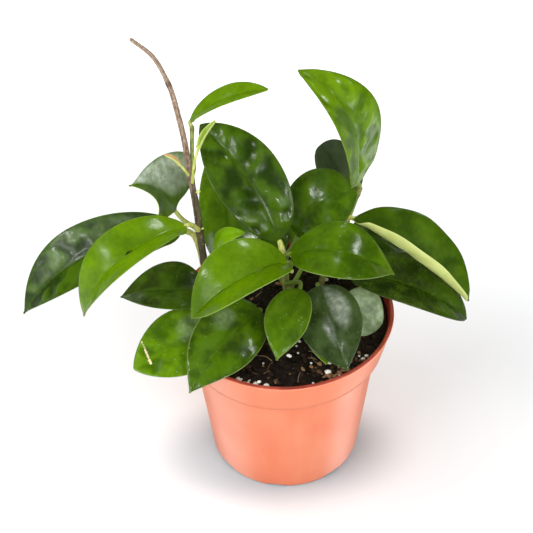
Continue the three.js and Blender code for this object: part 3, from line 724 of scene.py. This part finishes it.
# the blade's middle surface at t along it and s across it, from -1 at the left margin to 1 at the right:
# half the width is (1 - d^2) to the power heel below the belly and point above it, where d is the distance
# from the belly as a share of that end; each half is an arc that leaves the midrib at its rise and turns by
# its curl, both smaller at the ends; a crease rounds the fold, and wave lifts the margins in turn
def bladeSurface(leaf, t, s):
    line, out = midrib(leaf, t)
    slope = unit(midrib(leaf, np.minimum(t + 0.004, 1))[0] - midrib(leaf, np.maximum(t - 0.004, 0))[0])
    side = unit(np.cross(slope, out))
    normal = np.cross(side, slope)
    belly = leaf["belly"]
    away = np.where(t < belly, 1 - t / belly, (t - belly) / (1 - belly))
    swell = np.clip(1 - away ** 2, 0, 1) ** np.where(t < belly, leaf["heel"], leaf["point"])
    narrowest = leafShape["narrowest"][0] * (1 - t) + leafShape["narrowest"][1] * t
    half = np.maximum(leaf["width"] / 2 * swell, narrowest)
    w = np.abs(s)
    eased = smooth(np.minimum(t / 0.12, 1) * np.minimum((1 - t) / 0.05, 1))
    halves = zip(leaf["left"], leaf["right"])
    rise, curl = (np.radians(np.where(s < 0, *pair)) * (0.3 + 0.7 * eased) for pair in halves)
    curl = np.where(np.abs(curl) < 1e-3, 1e-3, curl)
    reach = (np.sin(rise + curl * w) - np.sin(rise)) / curl * half * np.sign(s)
    lift = (np.cos(rise) - np.cos(rise + curl * w)) / curl * half
    lift = lift * (1 - np.exp(-w * half / leafShape["crease"]))
    ripple = np.sin(2 * np.pi * leaf["waves"] * t + (s > 0) * 1.9)
    lift = lift + leaf["wave"] * ripple * w ** 2 * np.sqrt(np.clip(swell, 0, 1))
    return line[:, None] + side[:, None] * reach[..., None] + normal[:, None] * lift[..., None], half


# height of the leaf's skin over its middle surface: rows of pillows between lateral veins that leave the
# midrib and lean to the tip, strong in some places and faint in others, rounded cells of noise among them,
# finer lumps on both, and a groove along the midrib
def quilting(leaf, shape, x, y, w, t, s, seed):
    draw = np.random.default_rng(seed)
    left, right = draw.uniform(0, 1, 2)
    side = np.where(s < 0, -1.0, 1.0)
    flat = grid(x, y * side, 0 * y)
    wobble = 0.4 * lumps(flat, 16, seed) + 0.2 * lumps(flat, 7, seed + 1)
    phase = (x - shape["lean"] * y - 0.35 * y * w) / leaf["cells"] + np.where(s < 0, left, right) + wobble
    pillow = np.sin(np.pi * phase) ** 2 * smooth(lumps(flat, 11, seed + 4), -0.4, 0.6)
    slanted = grid((x - 0.6 * y) / 0.9, (0.4 * x + y) * side / 1.1, 0 * y)
    cells = 0.5 + 0.9 * lumps(slanted, 0.66 * leaf["cells"], seed + 5)
    small = 0.3 + 0.5 * lumps(flat, 0.34 * leaf["cells"], seed + 6)
    inner = within(w, 0.02, 0.2, 0.75, 0.98) * within(t, 0.02, 0.14, 0.88, 0.99)
    gap = np.abs(phase - np.round(phase)) * leaf["cells"]
    vein = np.exp(-(gap / shape["vein"]) ** 2) * inner
    grain = lumps(flat, 4.2, seed + 2) * 0.5 + lumps(flat, 9, seed + 3)
    rib = np.exp(-(y / 1.0) ** 2) * (1 - t) ** 0.4
    relief = shape["pillows"] * (pillow - 0.3) + shape["hollows"] * (cells - 0.4)
    relief = relief + shape["dimples"] * (small - 0.3)
    height = leaf["quilt"] * (relief * inner + shape["grain"] * grain * smooth(w, 0.05, 0.3))
    return height, rib, vein, np.clip(relief * inner * leaf["quilt"], -0.5, 0.5)


# the skin: each ring runs over the top, round the right margin, underneath and round the left margin
def leafShells(leaf, shape, seed):
    even = np.linspace(0, 1, shape["rows"])
    t = (0.5 * even + 0.25 * (1 - np.cos(np.pi * even)))[:, None]
    x = np.linspace(-1, 1, 2 * shape["columns"] + 1)[None, :]
    s = np.sign(x) * (0.7 * np.abs(x) + 0.3 * np.sin(np.abs(x) * np.pi / 2))
    surface, half = bladeSurface(leaf, t, s)
    length = np.linalg.norm(np.array(leaf["tip"], float) - leaf["base"]) * 1.06
    w = np.abs(s)
    lengthwise, crosswise = np.gradient(surface, axis=0), np.gradient(surface, axis=1)
    normal = unit(np.cross(crosswise, lengthwise))
    height, rib, vein, relief = quilting(leaf, shape, t * length, w * half, w, t, s, seed)
    thick = 0.5 * (shape["middle"] + (shape["edge"] - shape["middle"]) * w) * (1 - 0.45 * w ** 20)
    thick = thick * np.minimum(1, 0.55 + half / 6)
    ends = within(t, 0, 0.05, 0.95, 1)
    top = surface + normal * (thick + (height - shape["groove"] * rib) * ends)[..., None]
    raised = (shape["underQuilt"] * height - (0.3 + shape["underRib"]) * rib) * ends
    under = surface - normal * (thick - raised)[..., None]
    rim = surface[:, [0, -1]] + unit(surface[:, [0, -1]] - surface[:, [1, -2]]) * shape["rim"]
    rings = np.concatenate([top, rim[:, 1:], under[:, ::-1], rim[:, :1]], 1)
    count = 2 * shape["columns"] + 1
    rims = [count, 2 * count + 1]
    columns = np.concatenate([np.arange(count), [count - 1], np.arange(count)[::-1], [0]])
    # painted sheen: patches where a reflection is painted in silvery white, stronger on the crests
    sheen = 0 * s * t
    for at, across, long, wide, strength in leaf["sheen"]:
        spread = ((t - at) / long) ** 2 + ((s - across) / wide) ** 2
        sheen = np.maximum(sheen, strength * (1 - smooth(spread, 0.1, 1.3)))
    sheen = sheen * (0.5 + 0.5 * smooth(relief / max(leaf["quilt"], 0.1), -0.25, 0.35))
    values = {
        "rib": w * half, "edge": (1 - w) * half, "vein": vein, "along": t, "stalk": 0, "relief": relief,
        "under": 0, "sheen": sheen,
    }
    whole = (shape["rows"], count)
    values = {key: np.broadcast_to(v, whole)[:, columns].astype(float) for key, v in values.items()}
    values["under"][:, count:] = 1
    values["under"][:, rims] = 0.6
    values["sheen"][:, rims] = 0
    shells = [ringShell(rings, values), stalkShell(leaf, shape)]
    ends = [bladeSurface(leaf, *np.array(mark).reshape(2, 1, 1))[0][0, 0] for mark in leaf["mark"]]
    for points, _, marks in shells:
        for key in ("wax", "fleck", "margin", "shade", "pale", "scarred", "matt"):
            marks[key] = np.full(len(marks["rib"]), float(leaf[key]))
        step = ends[1] - ends[0]
        share = np.clip((points - ends[0]) @ step / max(step @ step, 1e-9), 0, 1)
        away = np.linalg.norm(points - ends[0] - share[:, None] * step, axis=1)
        marks["mark"] = leaf["markWidth"] - away
    return shells


# what the leaf material reads on a stalk or a bud, the same all over
def plainMarks(rings, **own):
    marks = {"rib": 3, "edge": 9, "vein": 0, "under": 1, "stalk": 1, "relief": 0, "sheen": 0, **own}
    return {name: np.ones(rings.shape[:2]) * value for name, value in marks.items()}


# the stalk: a Bezier curve from the stem's axis to just under the midrib, then on below the blade, fading
def stalkShell(leaf, shape):
    start, end = stemPoint(leaf["stem"], leaf["root"]), np.array(leaf["base"], float)
    reach = np.linalg.norm(end - start)
    slope = unit(midrib(leaf, np.array([[0.01]]))[0][0] - end)
    control = [start, start + 0.35 * (end - start), end - slope * 0.4 * reach, end]
    t = np.linspace(0, 1, 5)[:, None]
    bend = sum(c * b * t ** k * (1 - t) ** (3 - k) for k, (c, b) in enumerate(zip(control, (1, 3, 3, 1))))
    ribs, out = midrib(leaf, np.array([[0.08], [0.16]]))
    bend[-1] -= out * 0.4 * leaf["petiole"]
    path = smoothPath(np.vstack([bend, ribs - out * leaf["sink"]]), shape["stalkRows"])
    share = np.linspace(0, 1, shape["stalkRows"])
    free = 4 / 6    # the share of the path before the blade
    radius = leaf["petiole"] * np.where(share < free, 1 - 0.15 * share / free, 0.85)
    radius = radius + (0.5 - radius) * np.clip((share - free) / (1 - free), 0, 1)
    radius = radius * (1 + 0.16 * np.exp(-((share * reach - 2.2) / 1.6) ** 2))
    rings = tubeRings(path, radius, shape["stalkSides"])
    return ringShell(rings, plainMarks(rings, along=share[:, None]))


# the greens are partly the leaves' own tones and partly painted light and shade: dark for leaves in shadow,
# bright for lit ones
tones = {
    "dark": {"deep": (28, 48, 0), "light": (62, 92, 0), "slot": "leaf_dark"},
    "mid": {"deep": (48, 76, 0), "light": (80, 114, 0), "slot": "leaf_mid"},
    "bright": {"deep": (68, 100, 0), "light": (98, 134, 0), "slot": "leaf_bright"},
    "silver": {"deep": (34, 52, 12), "light": (64, 84, 40), "slot": "leaf_silver"},
    "pale": {"deep": (122, 148, 44), "light": (170, 190, 88), "slot": "leaf_pale"},
    "bronze": {"deep": (196, 148, 104), "light": (204, 200, 118), "slot": "sprout"},
}
leafLook = {
    "under": (198, 206, 130), "underDeep": (178, 190, 106), "stalk": (212, 212, 130),
    "stalkDeep": (168, 176, 78), "stalkGreen": (84, 112, 26), "margin": (196, 214, 130),
    "rib": (104, 146, 20), "silver": (150, 172, 132), "sheen": (206, 214, 204), "blemish": (26, 26, 10),
    "scar": (222, 204, 160),
}


# waxy leaf: two greens in soft clouds, darker in small mottles, with painted shade in the hollows and painted
# light on the crests, lighter along midrib and veins, a painted silvery sheen and silver flecks, a thin pale
# margin and a pale underside; the shade value dims or brightens the top, partly as painted light and shade;
# mottles and wax roughen it
def leafMaterial(tone, colours, look):
    s = newMaterial("leaf_" + tone)
    rib, edge, vein, under, stalk = map(s.attribute, ("rib", "edge", "vein", "under", "stalk"))
    wax, fleck, margin, matt, mark = map(s.attribute, ("wax", "fleck", "margin", "matt", "mark"))
    deep, light = colours["deep"], colours["light"]
    cloud = s.noise(20, 3.0).rise(0.28, 0.72)
    mottle = s.noise(2.6, 3.0)
    # painted shade and light: the quilting's relief darkens the green in the hollows and lightens it on the
    # crests
    share = cloud * 0.34 + mottle.rise(0.35, 0.7) * 0.2 + 0.22 + s.attribute("relief") * 1.1
    green = s.mix(share.rise(0.0, 1.0), deep, light)
    green = s.mix(vein * 0.12 + s.attribute("along").fall(0.0, 0.3) * 0.2, green, light)
    green = s.mix(rib.fall(0.2, 0.7) * 0.06, green, look["rib"])
    # partly real wax, partly a faint painted sheen: wax patches mix silver into the green and roughen it
    waxy = wax * s.noise(5, 3.0).rise(0.35, 0.7)
    green = s.mix(waxy * 0.025, green, look["silver"])
    # painted sheen: a softbox's reflection painted in silvery white over the listed patches
    sheen = s.noise(2.4, 3.0, (1, 1, 0.6)).rise(0.3, 0.7) * 0.6 + 0.4
    green = s.mix(s.attribute("sheen") * sheen, green, look["sheen"])
    specks = s.noise(1.1, 1.0).rise(0.7, 0.78) * s.noise(9, 1.0).rise(0.42, 0.6) * fleck
    green = s.mix(specks * 0.8, green, look["silver"])
    thin = (edge + s.noise(3, 2.0) * 0.3).fall(0.15, 0.45) * margin
    # the shade value: partly the leaf's own tone, partly painted light and shade, dimmer for leaves in shadow
    # and brighter for lit ones
    green = s.dim(s.mix(thin * 0.4, green, look["margin"]), s.attribute("shade"))
    pale = s.mix(s.noise(9, 4.0).rise(0.2, 0.8), look["underDeep"], look["under"])
    pale = s.mix(vein * 0.3, pale, look["under"])
    colour = s.mix(under.rise(0.55, 0.95), green, pale)
    spot = (mark + s.noise(1.3, 2.0) * 0.9).rise(0.5, 0.8)
    colour = s.mix(spot, colour, s.mix(s.attribute("scarred"), look["blemish"], look["scar"]))
    streak = s.noise(1.4, 3.0, (1, 1, 0.35)).rise(0.3, 0.7)
    petiole = s.mix(s.attribute("pale"), look["stalkGreen"], s.mix(streak, look["stalkDeep"], look["stalk"]))
    colour = s.mix(stalk, colour, petiole)
    fine = s.noise(0.6, 2.0)
    roughness = 0.14 + 0.06 * mottle + 0.06 * waxy + 0.22 * under + 0.03 * fine + matt
    return finishMaterial(s, colour, roughness, s.bump(fine * 0.4 + s.noise(1.9, 2.0), 0.07, 0.7))


leafMaterials = {tone: leafMaterial(tone, colours, leafLook) for tone, colours in tones.items()}
for order, (name, leaf) in enumerate(leaves.items()):
    tone = leaf["tone"]
    shells = leafShells(leaf, leafShape, 100 + 7 * order)
    makePiece("waxleaf_" + name, shells, leafMaterials[tone], ["leaf_" + name])
print("leaves made")

# soil: the CAD's waves with crumbs on them. gap is the room left at the pot's wall
soil = {
    "drop": 5.2, "bump": 1.3, "rings": 76, "around": 260, "crumb": 0.75, "gap": 0.3, "seed": 11,
    "dark": (9, 6, 4), "light": (34, 23, 16), "brown": (74, 52, 36), "pale": (150, 122, 92),
}


# the soil's top: a broad product of a sine and a cosine and a finer one of two sines, six parts to four
def soilHeight(x, y):
    broad = np.sin(0.13 * x + 1) * np.cos(0.11 * y)
    fine = np.sin(0.41 * x - 0.33 * y) * np.sin(0.47 * y + 2)
    return pot["height"] - soil["drop"] + soil["bump"] * (0.6 * broad + 0.4 * fine)


# rings of the filling: its top from the middle to the wall, down the wall and back along the floor;
# noise of 6, 2.5 and 1.2 mm roughens the top, less at the wall
def soilShell(p):
    edge = pot["height"] - p["drop"]
    outer = float(potInner(np.array(edge))) - p["gap"]
    radius = np.linspace(0.5, outer, p["rings"])[:, None]
    angle = fullTurn(p["around"])[None, :]
    flat = aroundAxis(radius, angle, 0)
    x, y = flat[..., 0], flat[..., 1]
    crumb = lumps(flat, 6, 3) * 0.9 + np.abs(lumps(flat, 2.5, 4)) * 1.0 + lumps(flat, 1.2, 5) * 0.45
    z = soilHeight(x, y) + p["crumb"] * crumb * (1 - 0.6 * smooth(radius, outer - 2, outer))
    shelf, low = shelfTop + p["gap"], pot["floor"] + p["gap"]
    heights = [(88, 88), (shelfTop, shelf), (shelfTop - 0.1, shelf), (60, 60), (30, 30), (low, low)]
    wall = [(float(potInner(np.array(float(at)))) - p["gap"], h) for at, h in heights] + [(20, low), (2, low)]
    radius, height = (np.array(column)[:, None] for column in zip(*wall))
    below = aroundAxis(radius, angle, height)
    return ringShell(np.concatenate([grid(x, y, z), below]), {})


# a ball of 20 or 80 faces, from the icosahedron with its edges halved and pushed out to the sphere
def ball(halvings):
    golden = (1 + 5 ** 0.5) / 2
    points = np.array([np.roll((a, b * golden, 0), k) for k in range(3) for b in (1, -1) for a in (-1, 1)])
    faces = np.array([(0, 11, 5), (0, 5, 1), (0, 1, 7), (0, 7, 10), (0, 10, 11), (1, 5, 9), (5, 11, 4),
                      (11, 10, 2), (10, 7, 6), (7, 1, 8), (3, 9, 4), (3, 4, 2), (3, 2, 6), (3, 6, 8),
                      (3, 8, 9), (4, 9, 5), (2, 4, 11), (6, 2, 10), (8, 6, 7), (9, 8, 1)])
    points = unit(points)
    for _ in range(halvings):
        a, b, c = points[faces[:, 0]], points[faces[:, 1]], points[faces[:, 2]]
        corners = np.concatenate([a, b, c, unit(a + b), unit(b + c), unit(c + a)])
        p, q, r, pq, qr, rp = np.arange(6 * len(faces)).reshape(6, -1)
        smaller = ((p, pq, rp), (q, qr, pq), (r, rp, qr), (pq, qr, rp))
        faces = np.concatenate([np.stack(face, -1) for face in smaller])
        points, inverse = np.unique(corners.round(6), axis=0, return_inverse=True)
        faces = inverse.reshape(-1)[faces]
    return points, faces


# seeded places over the soil, clear of the wall; heaps are x, y, spread and number
def scatter(settings, draw):
    count, reach = settings["count"], settings["reach"]
    angle = draw.uniform(0, 2 * np.pi, count)
    radius = reach * draw.uniform(0, 1, count) ** 0.5
    place = aroundAxis(radius, angle, 0).T[:2].copy()
    start = 0
    for x, y, spread, number in settings.get("heaps", ()):
        place[:, start:start + number] = np.array([[x], [y]]) + spread * draw.normal(size=(2, number))
        start += number
    return place * np.minimum(1, reach / np.hypot(*place))


# turns points by an angle for each lump, in the plane of two of their axes
def turned(points, angle, first, second):
    cos, sin = np.cos(angle)[:, None], np.sin(angle)[:, None]
    points = points.copy()
    a, b = points[..., first].copy(), points[..., second].copy()
    points[..., first], points[..., second] = a * cos - b * sin, a * sin + b * cos
    return points


# balls turned at random, pushed in and out by noise, flattened, and sunk to near their middle
def lumpShell(settings, draw):
    points, faces = ball(settings["halvings"])
    count, (small, large) = settings["count"], settings["size"]
    size = small + (large - small) * draw.uniform(0, 1, count) ** 2
    x, y = scatter(settings, draw)
    turn = draw.uniform(0, 2 * np.pi, (3, count))
    uneven = 1 + settings["jag"] * draw.uniform(-1, 1, (count, len(points)))[..., None]
    shape = points[None] * np.array(settings["flat"]) * uneven * size[:, None, None]
    shape = turned(turned(shape, (turn[1] - np.pi) * 0.16, 0, 2), turn[0], 0, 1)
    height = soilHeight(x, y) + 0.45 + settings["sink"] * size
    shape = shape + np.stack([x, y, height], -1)[:, None]
    index = faces[None] + len(points) * np.arange(count)[:, None, None]
    shade = np.repeat(draw.uniform(0, 1, count), len(points))
    return [(shape.reshape(-1, 3), index.reshape(-1, 3).tolist(), {"shade": shade})]


# short straws: bent tubes lying on the soil, each a parabola in plan
def strawShells(settings, draw):
    shells = []
    xs, ys = scatter(settings, draw)
    for k, (x, y) in enumerate(zip(xs, ys)):
        length = draw.uniform(*settings["length"])
        turn = draw.uniform(0, 2 * np.pi)
        bend = draw.uniform(-2.4, 2.4)
        t = np.linspace(-0.5, 0.5, 9)
        x = x + length * t * math.cos(turn) - bend * t ** 2 * 4 * math.sin(turn)
        y = y + length * t * math.sin(turn) + bend * t ** 2 * 4 * math.cos(turn)
        z = soilHeight(x, y) + 0.95 + 0.35 * np.sin(9 * t + k)
        radius = draw.uniform(*settings["radius"]) * np.linspace(1, 0.5, 9)
        rings = tubeRings(np.stack([x, y, z], -1), radius, 5)
        shells.append(ringShell(rings, {"shade": np.full(rings.shape[:2], draw.uniform(0, 1))}))
    return shells


def soilMaterial(p):
    s = newMaterial("peat")
    coarse, fine = s.noise(4, 5.0), s.noise(0.9, 4.0)
    colour = s.mix(coarse.rise(0.3, 0.7), p["dark"], p["light"])
    colour = s.mix(fine.rise(0.6, 0.78) * 0.6, colour, p["brown"])
    colour = s.mix(s.noise(1.6, 2.0).rise(0.72, 0.78) * 0.5, colour, p["pale"])
    return finishMaterial(s, colour, 0.82 + 0.15 * coarse, s.bump(fine + coarse, 0.6, 0.9))


# what lies on the soil: perlite, bark chips, clods of peat and straws, in the order of their random draws.
# look is the two colours, the roughness, the size of the grain and its depth
bits = {
    "perlite": {
        "count": 76, "size": (0.7, 1.8), "flat": (1, 0.85, 0.75), "halvings": 1, "jag": 0.16, "sink": 0.1,
        "reach": 54, "heaps": ((-20, -49, 3.4, 12), (40, -36, 3, 4), (18, -47, 6, 6)),
        "material": "perlite_grain",
        "look": ((196, 188, 172), (250, 247, 238), 0.85, 0.8, 0.2)},
    "bark_chips": {
        "count": 150, "size": (0.9, 2.6), "flat": (1, 0.6, 0.35), "halvings": 0, "jag": 0.3, "sink": 0.1,
        "reach": 54, "heaps": ((22, -46, 6, 34), (36, -36, 5, 12)), "material": "bark_chip", "sharp": 30,
        "look": ((34, 22, 14), (150, 112, 76), 0.8, 1.2, 0.15)},
    "peat_crumbs": {
        "count": 900, "size": (0.5, 1.7), "flat": (1, 0.9, 0.8), "halvings": 0, "jag": 0.3, "sink": 0.05,
        "reach": 55, "material": "peat_crumb", "sharp": 30, "look": ((9, 6, 5), (52, 37, 27), 0.9, 0.8, 0.2)},
    "straws": {
        "count": 44, "length": (4, 13), "radius": (0.1, 0.22), "reach": 48, "material": "straw",
        "look": ((110, 84, 56), (206, 184, 140), 0.7, 1.5, 0.05)},
}


def bitMaterial(name, dark, light, roughness, grainSize, depth):
    s = newMaterial(name)
    shade, grain = s.attribute("shade"), s.noise(grainSize, 3.0)
    colour = s.mix((shade * 0.7 + grain * 0.6).rise(0.25, 1.0), dark, light)
    return finishMaterial(s, colour, roughness + 0.1 * grain, s.bump(grain, depth, 0.8))


draw = np.random.default_rng(soil["seed"])
makePiece("potting_soil", [soilShell(soil)], soilMaterial(soil), ["soil"])
for name, bit in bits.items():
    shells = lumpShell(bit, draw) if "flat" in bit else strawShells(bit, draw)
    makePiece(name, shells, bitMaterial(bit["material"], *bit["look"]), smoothAngle=bit.get("sharp"))
print("soil made")


# small buds on the vine, pointed outwards
buds = {
    "high": {"height": 173, "aim": (1, -0.3, 0.5), "size": 1.3},
    "low": {"height": 152, "aim": (0.8, -0.6, 0.6), "size": 1.0},
}


# a bud: a tube along its aim whose radius is the root of a half turn of a sine, so both its ends are round
def budShell(height, aim, size):
    t = np.linspace(0, 1, 14)
    out = unit(np.array(aim, float))
    path = stemPoint("vine", height) + 1.4 * out + out * (t * size * 2.2)[:, None]
    radius = size * 0.62 * np.sqrt(np.sin(np.pi * (0.06 + 0.94 * t ** 0.8)).clip(0.02))
    rings = tubeRings(path, radius, 12)
    return ringShell(rings, plainMarks(rings, along=0.5, wax=0.2, fleck=0, margin=0, shade=1, pale=1, mark=-9,
                                       matt=0.1, scarred=0))


makePiece("vine_buds", [budShell(**bud) for bud in buds.values()], leafMaterials["pale"])
print("buds made")
